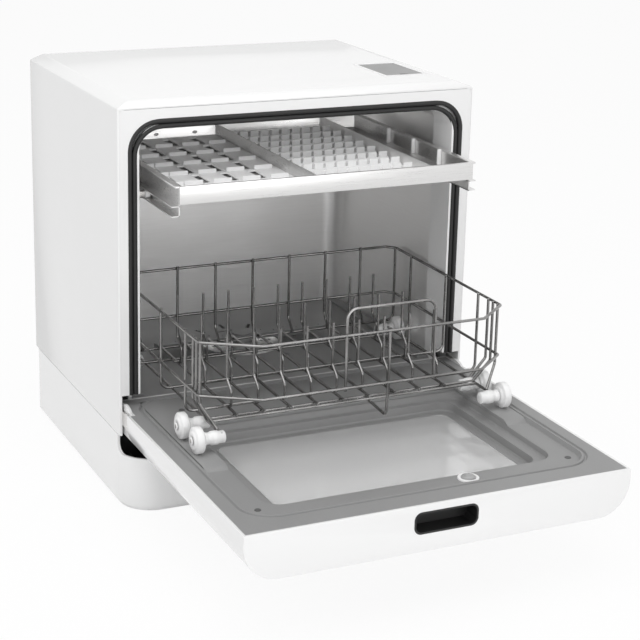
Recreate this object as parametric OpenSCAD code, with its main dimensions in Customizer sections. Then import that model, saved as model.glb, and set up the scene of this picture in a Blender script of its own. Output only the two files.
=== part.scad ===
// Countertop dishwasher, shown with the door down, the basket rolled out and the tray drawn.
// X runs across the front, Y goes back into the cabinet, Z is up. The origin lies on the worktop.

/* [Cabinet] */
// Width of the cabinet
body_w = 420; // [400:1:460]
// Depth of the cabinet behind the door
body_d = 325; // [320:1:360]
// Height of the cabinet
body_h = 448; // [440:1:470]
// Thickness of the casing sheet
sheet = 3; // [2:0.5:4]
// Height of the seam between the casing and the base
seam_z = 82; // [76:1:88]
// Radius of the front corners of the base
base_r = 40; // [30:1:44]
// How far the base stands out in front of the casing
base_lip = 28; // [24:1:30]
// Height of the front rim of the base
rim_z = 61; // [54:1:61]

/* [Wash tub] */
// Half of the clear width of the tub
tub_half = 188; // [186:0.5:189]
// Height of the tub roof inside
tub_top = 421; // [415:1:424]
// Place of the inside of the tub's back wall
tub_back = 297; // [290:1:300]
// Height of the tub floor
floor_z = 112; // [110:0.5:113]

/* [Door] */
// Height of the hinge axis
hinge_z = 103; // [103:0.5:104]
// Thickness of the door
door_t = 48; // [47:0.5:49]
// Length of the door beyond its hinge axis
door_reach = 334.5; // [330:0.5:338]
// Radius of the long edges of the door
door_edge_r = 36; // [30:1:36]
// Width of the window
window_w = 280; // [240:1:290]
// Depth of the recess above the window
recess_depth = 21; // [18:1:22]

/* [Basket] */
// Diameter of the basket wires
wire_d = 3.2; // [2.8:0.1:3.6]
// Half of the width at the rim
rim_half = 172; // [165:1:174]
// Height of the rim of the basket
rim_height = 225; // [215:1:235]
// Height of the middle rail
mid_height = 168; // [160:1:176]
// Diameter of the wheels
wheel_d = 28; // [26:0.5:28]
// Number of tines in a row
tines = 9; // [6:1:10]

/* [Cutlery tray] */
// Half of the width of the tray
tray_half = 168; // [164:1:169]
// Height of the top edge of the tray
tray_top = 374; // [370:1:378]
// Height of the front panel
tray_front_h = 19; // [16:1:22]
// Rows of ribs in the left part
rib_rows = 5; // [3:1:6]
// Combs in the middle part
comb_rows = 9; // [6:1:10]

/* [Hidden] */
$fn = 48;
half = body_w / 2;
inner_half = half - sheet;
hinge_y = -13.5;
liner_z = hinge_z + 12;          // top of the door when it is down
shell_z = liner_z - door_t;      // underside of the door when it is down
door_end = hinge_y - door_reach; // front end of the door when it is down
tongue = 36;                     // part of the door behind the hinge axis
tongue_y = hinge_y + tongue;
tongue_half = half - 5.5;        // the tongue turns between the sides of the cabinet
wall = 3;
gasket_w = 6;
gasket_half = 196;
gasket_top = 429;
gasket_r = 34;
column_z = 128;                  // lower end of the bezel beside the door
axle_y = -149.3;
axle_z = liner_z + wheel_d / 2 + 0.3;
second_axle_y = -106;
rear_axle_y = 100;
wheel_in = 172;
wheel_w = 12;
floor_wire_z = 135;
floor_half = 148;
front_y = -161.5;
back_y = 128;
corner_x = 128;
corner_y = -120;
tray_front = -75;
tray_back = 212;
tray_floor = 358;
divider_x = [-17, 120];
roller_y = [12, 34];
roller_z = 347;
tongue_start = hinge_y - 11;     // the door is full width in front of this
frame_half = gasket_half - gasket_w;
frame_top = gasket_top - gasket_w;
sump_y = 165;
arm_len = 112;
casing_bevel = [16, 6];
casing_front_bevel = 13;
port_x = [131, 184];
port_y = [62, 144];
flap_axis = [port_y[1] - 6.4, body_h - 2.6];
connectors = [[-150, 45, 24], [-105, 45, 18], [150, 40, 16]];
window_y = [-262, -92];
pocket_half = 35;
pocket_z = [85, 108];
pocket_depth = 22;
panel_y = [-336, -290];
recess_half = 160;
recess_y = [-286, -76];
liner_step = 11;
liner_screw_places = [[-164, -304], [164, -304], [-150, -30], [150, -30]];
wheel_x = wheel_in + wheel_w / 2;
axle_places = [axle_y, second_axle_y, rear_axle_y];
cross_y = [-120, -80, -40, 0, 40, 80, 118];
long_x = [-128, -96, -64, -32, 0, 32, 64, 96, 128];
grip_x = [-19, 84];
grip_y = front_y + 2.4;

// ---------- shared forms ----------

// rectangle with round corners, lower left corner at the origin
module rounded(w, h, r) {
    translate([r, 0]) square([w - 2 * r, h]);
    translate([0, r]) square([w, h - 2 * r]);
    for (x = [r, w - r], y = [r, h - r]) translate([x, y]) circle(r);
}

// plan outline with one radius at the front corners and another at the back
module plan(w, y0, y1, front_r, rear_r) {
    translate([-w / 2 + front_r, y0]) square([w - 2 * front_r, front_r + 1]);
    translate([-w / 2, y0 + front_r]) square([w, y1 - y0 - front_r - rear_r]);
    translate([-w / 2 + rear_r, y1 - rear_r - 1]) square([w - 2 * rear_r, rear_r + 1]);
    for (s = [-1, 1]) {
        translate([s * (w / 2 - front_r), y0 + front_r]) circle(front_r);
        translate([s * (w / 2 - rear_r), y1 - rear_r]) circle(rear_r);
    }
}

// upright arch: straight legs below, round corners on top
module arch(w_half, z0, z1, r) {
    translate([-w_half, z0]) square([2 * w_half, z1 - z0 - r]);
    translate([-w_half + r, z0]) square([2 * (w_half - r), z1 - z0]);
    for (s = [-1, 1]) translate([s * (w_half - r), z1 - r]) circle(r);
}

// a profile in X and Z, drawn out along Y from y0 to y1
module along_y(y0, y1) translate([0, y1, 0]) rotate([90, 0, 0]) linear_extrude(y1 - y0) children();

// a profile in Y and Z, drawn out along X from x0 to x1
module along_x(x0, x1) translate([x0, 0, 0]) rotate([90, 0, 90]) linear_extrude(x1 - x0) children();

module both_sides() {
    children();
    mirror([1, 0, 0]) children();
}

// straight runs of wire through the points of a path
module wire(path, d = wire_d) {
    for (i = [0:len(path) - 2]) {
        hull() {
            translate(path[i]) sphere(d = d, $fn = 6);
            translate(path[i + 1]) sphere(d = d, $fn = 6);
        }
    }
}

// ---------- cabinet ----------

module casing_section(grow) {
    w = half - grow;
    h = body_h - grow;
    polygon([[-w, seam_z - grow], [-w, h - casing_bevel.y], [-w + casing_bevel.x, h],
             [w - casing_bevel.x, h], [w, h - casing_bevel.y], [w, seam_z - grow]]);
}

module casing_profile(grow, y0, y1) {
    h = body_h - grow;
    polygon([[y0, seam_z - grow], [y0, h - casing_bevel.y], [y0 + casing_front_bevel, h],
             [y1, h], [y1, seam_z - grow]]);
}

module outer_casing() color("white") difference() {
    intersection() {
        along_y(0, body_d) casing_section(0);
        along_x(-half, half) casing_profile(0, 0, body_d);
    }
    intersection() {
        along_y(-1, body_d + 1) casing_section(sheet);
        along_x(-half, half) casing_profile(sheet, -sheet, body_d + 2);
    }
    translate([port_x[0], port_y[0], body_h - sheet - 6])
        cube([port_x[1] - port_x[0], port_y[1] - port_y[0], sheet + 12]);
}

module back_panel() color("whitesmoke") difference() {
    along_y(body_d - 4, body_d - 1)
        polygon([[-inner_half, seam_z], [-inner_half, body_h - 9.5], [-inner_half + 15, body_h - sheet - 1],
                 [inner_half - 15, body_h - sheet - 1], [inner_half, body_h - 9.5], [inner_half, seam_z]]);
    // louvres beside the pump bay, in two banks
    for (s = [-1, 1], i = [0:6])
        translate([s * 110 - 35, body_d - 10, 120 + 11 * i]) cube([70, 12, 4]);
    // shallow stiffening panel
    translate([-150, body_d - 2, 230]) cube([300, 5, 170]);
}

module base_tray() color("white") difference() {
    union() {
        translate([0, 0, 5]) linear_extrude(seam_z - 5) plan(body_w, -base_lip, body_d, base_r, 14);
        linear_extrude(5.5) plan(body_w - 8, -base_lip + 4, body_d - 4, base_r - 4, 10);
    }
    translate([0, 0, 8])
        linear_extrude(seam_z) plan(body_w - 2 * wall, -base_lip + wall, body_d - wall, base_r - wall, 11);
    // the front rim drops below the door and rises to the seam at the sides
    along_x(-half - 1, half + 1) difference() {
        translate([-100, rim_z]) square([109, 60]);
        translate([9, rim_z]) difference() {
            translate([-12, -1]) square([13, 13]);
            translate([-12, 12]) circle(12);
        }
    }
    for (x = [-150, 150], y = [40, 280]) translate([x, y, -1]) cylinder(d = 30, h = 3);
    for (p = connectors) translate([p[0], body_d - 8, p[1]]) rotate([-90, 0, 0]) cylinder(d = p[2] + 0.4, h = 20);
}

module rear_connectors() color("dimgray") {
    // inlet spigot with its collar, outlet spigot, and the gland for the supply lead
    for (p = connectors) translate([p[0], body_d, p[1]]) rotate([-90, 0, 0]) {
        difference() {
            union() {
                translate([0, 0, -6]) cylinder(d = p[2], h = 8);
                cylinder(d = p[2] + 8, h = 2);
                cylinder(d = p[2] - 2, h = 12);
            }
            translate([0, 0, -7]) cylinder(d = p[2] - 9, h = 20);
        }
    }
}

module feet() color("dimgray")
    for (x = [-150, 150], y = [40, 280]) translate([x, y, 0]) cylinder(d = 30, h = 2);

// dark moulding that closes the space in which the end of the door turns
module hinge_bay_liner() color("black") {
    along_x(-inner_half + 0.5, inner_half - 0.5) {
        translate([28, 8]) square([2, 96]);
        translate([12, 8]) square([18, 2]);
    }
    for (s = [-1, 1])
        translate([s * 190 - 2, 2, 8]) cube([4, 28, 40]);
}

module front_bezel() color("white") along_y(0, 3) difference() {
    intersection() {
        casing_section(sheet);
        translate([-inner_half, column_z]) square([2 * inner_half, body_h - 8 - column_z]);
    }
    arch(gasket_half, column_z - 1, gasket_top, gasket_r);
}

module door_gasket() color("black")
    along_y(-1, 8) difference() {
        arch(gasket_half, column_z, gasket_top, gasket_r);
        arch(gasket_half - gasket_w, column_z - 1, gasket_top - gasket_w, gasket_r - gasket_w);
    }

module tub_front_frame() color("gainsboro") {
    along_y(1, 44) difference() {
        arch(frame_half, column_z, frame_top, 28);
        arch(frame_half - 4, column_z - 1, frame_top - 4, 24);
    }
    // flange that holds the gasket from behind
    along_y(8, 10) difference() {
        arch(gasket_half + 6, column_z, gasket_top + 6, 36);
        arch(frame_half, column_z - 1, frame_top, 28);
    }
    // feet that stand on the tub floor behind the end of the door
    for (s = [-1, 1]) translate([s * (frame_half - 2) - 2, 30, floor_z]) cube([4, 14, column_z - floor_z + 1]);
}

module tub_shell() color("silver") difference() {
    intersection() {
        along_y(44, tub_back + 2) arch(tub_half + 2, floor_z, tub_top + 2, 22);
        translate([0, 0, floor_z]) linear_extrude(400) plan(2 * tub_half + 4, 20, tub_back + 2, 2, 24);
    }
    intersection() {
        along_y(40, tub_back) arch(tub_half, floor_z - 1, tub_top, 20);
        translate([0, 0, floor_z - 1]) linear_extrude(400) plan(2 * tub_half, 10, tub_back, 2, 22);
    }
}

module tub_floor() color("gray") difference() {
    union() {
        translate([0, 0, floor_z - 6]) linear_extrude(6) plan(2 * tub_half + 4, 30, tub_back + 2, 2, 24);
        // front lip that the door closes against
        along_x(-tub_half - 2, tub_half + 2) translate([30, floor_z - 14]) square([3, 14]);
        // rails for the basket wheels
        both_sides() translate([wheel_in - 1, 34, floor_z - 1]) cube([14, tub_back - 60, 3.7]);
    }
    translate([0, sump_y, floor_z - 7]) cylinder(d = 96, h = 10);
    // drain slots round the sump
    for (a = [0:30:330]) translate([0, sump_y, floor_z - 7]) rotate([0, 0, a])
        translate([56, -2, 0]) cube([16, 4, 10]);
}

module sump() color("dimgray") difference() {
    translate([0, sump_y, 58]) cylinder(d = 96, h = 50);
    translate([0, sump_y, 62]) cylinder(d = 88, h = 60);
}

module sump_filter() color("silver") {
    difference() {
        translate([0, sump_y, 108]) cylinder(d = 95, h = 3);
        for (a = [0:30:330], r = [26, 36]) translate([0, sump_y, 107]) rotate([0, 0, a])
            translate([r, 0, 0]) cylinder(d = 5, h = 5);
    }
    difference() {
        translate([0, sump_y, 70]) cylinder(d = 40, h = 39);
        translate([0, sump_y, 69]) cylinder(d = 36, h = 38);
    }
}

module spray_hub() color("gray")
    translate([0, sump_y, 111]) {
        cylinder(d = 26, h = 4);
        cylinder(d = 10, h = 12);
    }

module spray_arm() color("lightgray") translate([0, sump_y, 0]) difference() {
    union() {
        translate([0, 0, 115.5]) cylinder(d = 24, h = 10);
        for (a = [0, 180]) rotate([0, 0, a]) {
            translate([0, 0, 118]) linear_extrude(6) {
                translate([0, -11]) square([arm_len - 12, 22]);
                translate([arm_len - 12, 0]) circle(11);
            }
        }
    }
    translate([0, 0, 110]) cylinder(d = 10.8, h = 13.6);
    for (a = [0, 180], i = [0:5]) rotate([0, 0, a])
        translate([26 + 15 * i, 3 - 6 * (i % 2), 120]) cylinder(d = 2.6, h = 8);
}

module tray_roller_brackets() color("silver") both_sides() {
    for (y = roller_y) translate([frame_half - 4, y, roller_z]) rotate([0, -90, 0]) {
        cylinder(d = 15, h = 2);
        cylinder(d = 8, h = 9);
        cylinder(d = 5, h = 16);
        translate([0, 0, 15.4]) cylinder(d = 8, h = 0.7);
    }
}

module roller(side, y) color("white")
    translate([side * 173.6, y, roller_z]) rotate([0, side * 90, 0]) difference() {
        cylinder(d = 13, h = 5.6, center = true);
        cylinder(d = 5.4, h = 8, center = true);
    }

module roller_left_front() roller(-1, roller_y[0]);
module roller_left_rear() roller(-1, roller_y[1]);
module roller_right_front() roller(1, roller_y[0]);
module roller_right_rear() roller(1, roller_y[1]);

// plates inside the cabinet sides, each with the pin that carries the door
module hinge_pins() color("silver") both_sides() {
    translate([inner_half - 1.4, 0, hinge_z]) {
        translate([0, 4, -14]) cube([1.4, 22, 28]);
        translate([0, hinge_y, -8]) cube([1.4, 20, 16]);
        translate([0, hinge_y, 0]) rotate([0, 90, 0]) cylinder(d = 19, h = 1.4);
    }
    translate([inner_half - 7.4, hinge_y, hinge_z]) rotate([0, 90, 0]) cylinder(d = 6, h = 7.4);
}

module fill_port_frame() color("lightgray") difference() {
    translate([port_x[0], port_y[0], body_h - 18]) cube([port_x[1] - port_x[0], port_y[1] - port_y[0], 18]);
    // recess for the flap
    translate([port_x[0] + 3, port_y[0] + 3, body_h - 3.2])
        cube([port_x[1] - port_x[0] - 6, port_y[1] - port_y[0] - 6, 4]);
    // well below it
    translate([port_x[0] + 7, port_y[0] + 7, body_h - 19])
        cube([port_x[1] - port_x[0] - 14, port_y[1] - port_y[0] - 22, 20]);
    // space for the knuckle of the flap
    translate([port_x[0] + 3, port_y[1] - 10.4, body_h - 6.2]) cube([port_x[1] - port_x[0] - 6, 7.4, 8]);
}

module fill_flap() color("gray") {
    difference() {
        translate([port_x[0] + 3.4, port_y[0] + 3.4, body_h - 2.8])
            cube([port_x[1] - port_x[0] - 6.8, flap_axis[0] - port_y[0] - 3.4, 2.6]);
        // finger notch
        translate([(port_x[0] + port_x[1]) / 2, port_y[0] + 2, body_h - 4]) cylinder(d = 14, h = 6);
    }
    translate([port_x[0] + 3.4, flap_axis[0], flap_axis[1]]) rotate([0, 90, 0])
        cylinder(d = 4.8, h = port_x[1] - port_x[0] - 6.8);
}

module water_tank() color("aliceblue") difference() {
    union() {
        translate([192.5, 50, 112]) cube([inner_half - 192.5, 262, 316]);
        translate([port_x[0], port_y[0], 426]) cube([inner_half - port_x[0], port_y[1] - port_y[0], 4]);
    }
    translate([port_x[0] + 7, port_y[0] + 7, 427.5])
        cube([port_x[1] - port_x[0] - 14, port_y[1] - port_y[0] - 22, 6]);
}

module wash_pump() color("slategray") {
    translate([-90, 110, 40]) rotate([0, 90, 0]) cylinder(d = 64, h = 34);
    translate([-130, 110, 40]) rotate([0, 90, 0]) cylinder(d = 50, h = 41);
    translate([-66, 110, 60]) cylinder(d = 18, h = 38);
    translate([-84, 92, 8]) cube([22, 36, 12]);
    translate([-126, 96, 8]) cube([16, 28, 14]);
}

module drain_pump() color("slategray") {
    translate([70, 250, 31]) rotate([0, 90, 0]) cylinder(d = 46, h = 26);
    translate([95, 250, 31]) rotate([0, 90, 0]) cylinder(d = 36, h = 35);
    translate([80, 262, 31]) rotate([-90, 0, 0]) cylinder(d = 14, h = 34);
    translate([76, 238, 8]) cube([14, 24, 10]);
}

module water_heater() color("silver") {
    translate([-60, 256, 60]) rotate([0, 90, 0]) cylinder(d = 42, h = 96);
    for (x = [-56, 26]) {
        translate([x, 256, 60]) rotate([0, 90, 0]) cylinder(d = 48, h = 6);
        translate([x, 244, 8]) cube([6, 24, 34]);
    }
}

module casing_screws() color("silver")
    for (x = [-190, -95, 95, 190], z = [96, 432])
        translate([x, body_d - 1, z]) rotate([-90, 0, 0]) cylinder(d = 7, h = 1.6);

// ---------- door ----------

// cross-section of the door: flat on top, long edges rounded below
module door_section(inset) {
    w = half - inset;
    r = door_edge_r - inset;
    translate([-w, shell_z + door_edge_r]) square([2 * w, door_t - door_edge_r]);
    translate([-w + r, shell_z + inset]) square([2 * (w - r), door_t - inset]);
    for (s = [-1, 1]) translate([s * (w - r), shell_z + door_edge_r]) circle(r);
}

// side view of the door: the end that turns in the cabinet is rounded below
module door_profile(inset) {
    r = 26 - inset;
    y0 = door_end + inset;
    y1 = tongue_y - inset;
    translate([y0, shell_z + inset]) square([y1 - r - y0, door_t - inset]);
    translate([y0, shell_z + 26]) square([y1 - y0, door_t - 26]);
    translate([y1 - r, shell_z + 26]) circle(r);
}

module door_solid(inset) intersection() {
    along_y(door_end + inset, tongue_y) door_section(inset);
    along_x(-half, half) door_profile(inset);
}

module rounded_window(grow, z, h) translate([-window_w / 2 - grow, window_y[0] - grow, z])
    linear_extrude(h) rounded(window_w + 2 * grow, window_y[1] - window_y[0] + 2 * grow, 14 + grow);

module door_outer_shell() color("white") difference() {
    door_solid(0);
    difference() {
        door_solid(wall);
        // boss behind the handle pocket
        translate([-pocket_half - 4, door_end, shell_z]) cube([2 * pocket_half + 8, pocket_depth + 5, 48]);
        // side walls of the tongue
        both_sides() translate([tongue_half - wall, tongue_start - wall, shell_z]) cube([20, 80, door_t + 1]);
    }
    door_top_cut();
    // the tongue is narrower, to turn between the sides of the cabinet
    both_sides() translate([tongue_half, tongue_start, shell_z - 5]) cube([20, 80, door_t + 10]);
    rounded_window(0, shell_z - 2, 8);
    handle_space(0);
    translate([-110, panel_y[0], shell_z - 1]) cube([220, panel_y[1] - panel_y[0], 2.5]);
    both_sides() translate([tongue_half - 4, hinge_y, hinge_z]) rotate([0, 90, 0]) cylinder(d = 6.6, h = 10);
}

// opens the shell on top, so that the liner lies in it
module door_top_cut() {
    translate([-half + wall, door_end + wall, liner_z - wall])
        cube([body_w - 2 * wall, tongue_start - door_end - 2 * wall, 10]);
    translate([wall - tongue_half, door_end + wall, liner_z - wall])
        cube([2 * (tongue_half - wall), door_reach + tongue - 2 * wall, 10]);
}

module handle_space(grow) along_y(door_end - 1, door_end + pocket_depth + grow)
    translate([-pocket_half - grow, pocket_z[0] - grow])
        rounded(2 * (pocket_half + grow), pocket_z[1] - pocket_z[0] + 2 * grow, 8 + grow);

module handle_insert() color("black") difference() {
    along_y(door_end, door_end + pocket_depth)
        translate([-pocket_half, pocket_z[0]]) rounded(2 * pocket_half, pocket_z[1] - pocket_z[0], 8);
    along_y(door_end - 1, door_end + pocket_depth - 2)
        translate([-pocket_half + 2, pocket_z[0] + 2])
            rounded(2 * pocket_half - 4, pocket_z[1] - pocket_z[0] - 4, 6);
}

module control_panel() color("dimgray") difference() {
    translate([-110, panel_y[0], shell_z]) cube([220, panel_y[1] - panel_y[0], 1.5]);
    // six round touch fields
    for (i = [-2.5:1:2.5]) translate([i * 30, (panel_y[0] + panel_y[1]) / 2, shell_z - 1])
        cylinder(d = 14, h = 1.4);
}

module liner_pocket(w_half, y0, y1, r, z) translate([-w_half, y0, z])
    linear_extrude(60) rounded(2 * w_half, y1 - y0, r);

module door_liner() color("darkgray") difference() {
    union() {
        // face of the liner
        translate([-half + wall, door_end + wall, liner_z - wall])
            cube([body_w - 2 * wall, tongue_start - door_end - 2 * wall, wall]);
        translate([wall - tongue_half, door_end + wall, liner_z - wall])
            cube([2 * (tongue_half - wall), door_reach + tongue - 2 * wall, wall]);
        // walls of the recess
        liner_tub(recess_half + 3, recess_y[0] - 3, recess_y[1] + 3, 23, liner_z - liner_step - 3, liner_step + 3);
        liner_tub(recess_half - 9, recess_y[0] + 9, recess_y[1] - 6, 19, liner_z - recess_depth - 3, recess_depth);
        // funnel between the two panes
        rounded_window(0, shell_z + wall, liner_z - recess_depth - 3 - shell_z - wall);
        // ramps at the ends of the wheel tracks
        both_sides() translate([164, -192, liner_z]) hull() {
            cube([20, 14, 0.01]);
            translate([1, 2, 0]) cube([17, 5, 3.4]);
        }
    }
    liner_pocket(recess_half, recess_y[0], recess_y[1], 20, liner_z - liner_step);
    liner_pocket(recess_half - 12, recess_y[0] + 12, recess_y[1] - 9, 16, liner_z - recess_depth);
    rounded_window(-3, shell_z - 1, 60);
    // groove that meets the gasket
    difference() {
        translate([-194, door_end + 36, liner_z - 2]) linear_extrude(5) rounded(388, 330, 30);
        translate([-189, door_end + 41, liner_z - 3]) linear_extrude(9) rounded(378, 340, 25);
        translate([-300, -24, 0]) cube([600, 200, 300]);
    }
    vent_seat();
    for (p = liner_screw_places) translate([p[0], p[1], liner_z - 1.2]) cylinder(d = 7, h = 3);
}

module liner_tub(w_half, y0, y1, r, z, h) translate([-w_half, y0, z])
    linear_extrude(h) rounded(2 * w_half, y1 - y0, r);

module liner_screws() color("silver")
    for (p = liner_screw_places) translate([p[0], p[1], liner_z - 1.2]) cylinder(d = 7, h = 1.4);

module vent_seat() translate([48, -308, liner_z - 1]) cylinder(d = 22, h = 4);

module vent_cap() color("white") translate([48, -308, liner_z - 1]) {
    cylinder(d = 22, h = 2);
    cylinder(d = 16, h = 4);
}

module window_inner_pane() color("lightcyan")
    rounded_window(-3, liner_z - recess_depth - 3, 2.5);

module window_outer_pane() color("lightcyan") rounded_window(0, shell_z + 0.4, 2.6);

// lugs on the tongue of the door that turn on the pins
module hinge_arms() color("white") both_sides()
    translate([tongue_half - wall - 2.4, 0, 0]) difference() {
        union() {
            translate([0, hinge_y, hinge_z]) rotate([0, 90, 0]) cylinder(d = 17, h = 2.4);
            translate([0, hinge_y, hinge_z - 8.5]) cube([2.4, 26, 8]);
            translate([0, hinge_y + 6, hinge_z - 8.5]) cube([2.4, 20, 17.4]);
        }
        translate([-1, hinge_y, hinge_z]) rotate([0, 90, 0]) cylinder(d = 6.6, h = 8);
    }

// ---------- basket ----------

module wheel(x, y, z) translate([x, y, z]) rotate([0, 90, 0]) difference() {
    union() {
        cylinder(d = wheel_d, h = wheel_w - 4, center = true);
        cylinder(d = wheel_d - 7, h = wheel_w, center = true);
    }
    cylinder(d = 6.6, h = wheel_w + 2, center = true);
}

module front_wheels() color("white") for (s = [-1, 1]) wheel(s * wheel_x, axle_y, axle_z);
module second_wheel_left() color("white") wheel(-wheel_x, second_axle_y, axle_z);
module second_wheel_right() color("white") wheel(wheel_x, second_axle_y, axle_z);
module rear_wheel_left() color("white") wheel(-wheel_x, rear_axle_y, axle_z);
module rear_wheel_right() color("white") wheel(wheel_x, rear_axle_y, axle_z);

module wheel_mounts() color("white") both_sides() for (y = axle_places)
    translate([wheel_in - 23, y, axle_z]) rotate([0, 90, 0]) {
        cylinder(d = 12, h = 22.4);
        cylinder(d = 6, h = 36);
        translate([0, 0, 35.4]) cylinder(d = 9, h = 0.9);
    }

module basket_floor() color("silver") {
    for (y = cross_y) wire([[-floor_half, y, floor_wire_z], [floor_half, y, floor_wire_z]]);
    for (x = long_x) wire([[x, corner_y - 6, floor_wire_z + 2.6], [x, back_y - 8, floor_wire_z + 2.6]]);
}

// the side of the basket, with its uprights and its sloping front corner
module basket_side() {
    for (z = [mid_height, rim_height]) {
        wire([[rim_half, back_y, z], [rim_half, corner_y, z], [corner_x, front_y, z]]);
    }
    for (y = cross_y)
        wire([[rim_half - 2.4, y, rim_height], [rim_half - 2.4, y, 160], [floor_half, y, floor_wire_z]]);
    // rail that carries the wheel mounts
    wire([[floor_half + 2.4, back_y - 8, floor_wire_z - 1.6], [floor_half + 2.4, axle_y - 4, floor_wire_z - 1.6]]);
}

module basket_right_side() color("silver") basket_side();
module basket_left_side() color("silver") mirror([1, 0, 0]) basket_side();

module basket_front() color("silver") {
    for (z = [mid_height, rim_height]) wire([[-corner_x, front_y, z], [corner_x, front_y, z]]);
    for (x = long_x)
        wire([[x, front_y + 2.4, rim_height], [x, front_y + 2.4, 160], [x, corner_y - 6, floor_wire_z + 2.6]]);
}

module basket_back() color("silver") {
    for (z = [mid_height, rim_height]) wire([[-rim_half, back_y, z], [rim_half, back_y, z]]);
    for (x = long_x)
        wire([[x, back_y - 2.4, rim_height], [x, back_y - 2.4, 158], [x, back_y - 8, floor_wire_z + 2.6]]);
}

module tine_row(y) color("silver") {
    step = 2 * corner_x / (tines - 1);
    for (i = [0:tines - 1]) {
        x = -corner_x + step * i;
        wire([[x, y + 12, floor_wire_z + 4], [x, y, floor_wire_z + 24], [x, y, floor_wire_z + 78]], 2.8);
    }
    wire([[-corner_x - 6, y + 10, floor_wire_z + 5], [corner_x + 6, y + 10, floor_wire_z + 5]], 2.8);
}

module tines_front() tine_row(-84);
module tines_middle() tine_row(-10);
module tines_back() tine_row(64);

module basket_handle() color("silver")
    wire([[grip_x[0], grip_y, mid_height - 4], [grip_x[0], grip_y, 242], [grip_x[0] + 11, grip_y, 252.5],
          [grip_x[1] - 11, grip_y, 252.5], [grip_x[1], grip_y, 242], [grip_x[1], grip_y, mid_height - 4]]);

// ---------- cutlery tray ----------

module tray_frame() color("lightgray") {
    difference() {
        union() {
            translate([-tray_half, tray_front, tray_floor - 2])
                cube([2 * tray_half, tray_back - tray_front, tray_top - tray_floor + 2]);
            // front panel, which hangs a little lower
            translate([-tray_half - 2, tray_front - 2, tray_top - tray_front_h])
                cube([2 * tray_half + 4, 3, tray_front_h]);
            // flanges on top of the sides
            both_sides() translate([tray_half - 12, tray_front, tray_top - 2])
                cube([18, tray_back - tray_front - 4, 2]);
        }
        // the three compartments
        edges = [-tray_half + 1.5, divider_x[0], divider_x[1], tray_half - 1.5];
        for (i = [0:2])
            translate([edges[i] + (i > 0 ? 0.75 : 0), tray_front + 2, tray_floor])
                cube([edges[i + 1] - edges[i] - (i == 1 ? 1.5 : 0.75), tray_back - tray_front - 4, 40]);
        // row of drain holes in each flange
        both_sides() for (i = [0:11])
            translate([tray_half - 6, tray_front + 20 + 22 * i, tray_top - 4]) cylinder(d = 5, h = 8);
    }
}

insert_z = tray_floor;

// staggered ribs that hold the cutlery in the left part
module tray_rib_insert() color("white") {
    x0 = -tray_half + 2;
    x1 = divider_x[0] - 1.5;
    translate([x0, tray_front + 3, insert_z]) cube([x1 - x0, tray_back - tray_front - 6, 1.6]);
    pitch = (x1 - x0) / 4;
    for (r = [0:rib_rows - 1], c = [0:3]) {
        translate([x0 + c * pitch + 1.5 + (r % 2) * 5, tray_front + 12 + r * 54, insert_z])
            cube([pitch - 8, 2, 14]);
        translate([x0 + c * pitch + 1.5 + (r % 2) * 5, tray_front + 12 + r * 54, insert_z])
            cube([1.6, 30, 12]);
    }
}

// rows of notched combs in the middle part
module tray_comb_insert() color("white") {
    x0 = divider_x[0] + 2;
    x1 = divider_x[1] - 2;
    translate([x0, tray_front + 3, insert_z]) cube([x1 - x0, tray_back - tray_front - 6, 1.6]);
    pitch = (tray_back - tray_front - 30) / comb_rows;
    for (r = [0:comb_rows - 1]) translate([x0, tray_front + 14 + r * pitch, insert_z]) difference() {
        cube([x1 - x0, 2, 15]);
        for (c = [0:7]) translate([7 + c * (x1 - x0 - 8) / 8, -1, 8]) cube([(x1 - x0) / 16, 4, 8]);
    }
}

module tray_partitions() color("white") for (i = [0:2])
    translate([divider_x[1] + 0.75, tray_front + 62 + 62 * i, tray_floor])
        cube([tray_half - divider_x[1] - 2.25, 1.6, 13]);

// channels outside the sides, which ride on the rollers
module tray_runners() color("silver") both_sides() {
    translate([tray_half, tray_front + 3, 336]) cube([1.4, tray_back - tray_front - 10, 36]);
    translate([tray_half, tray_front + 3, 336]) cube([9, tray_back - tray_front - 10, 1.4]);
    translate([tray_half, tray_front + 3, 353.7]) cube([9, tray_back - tray_front - 10, 1.4]);
}

outer_casing();
back_panel();
base_tray();
hinge_bay_liner();
front_bezel();
door_gasket();
tub_front_frame();
tub_shell();
tub_floor();
sump();
sump_filter();
spray_hub();
spray_arm();
tray_roller_brackets();
roller_left_front();
roller_left_rear();
roller_right_front();
roller_right_rear();
hinge_pins();
fill_port_frame();
fill_flap();
water_tank();
wash_pump();
drain_pump();
water_heater();
rear_connectors();
feet();
casing_screws();
door_outer_shell();
door_liner();
window_inner_pane();
window_outer_pane();
handle_insert();
control_panel();
hinge_arms();
liner_screws();
vent_cap();
front_wheels();
basket_floor();
basket_left_side();
basket_right_side();
basket_front();
basket_back();
tines_front();
tines_middle();
tines_back();
basket_handle();
wheel_mounts();
second_wheel_left();
second_wheel_right();
rear_wheel_left();
rear_wheel_right();
tray_frame();
tray_rib_insert();
tray_comb_insert();
tray_partitions();
tray_runners();
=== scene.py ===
import math
import bpy
import bmesh
from mathutils import Matrix, Vector


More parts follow.
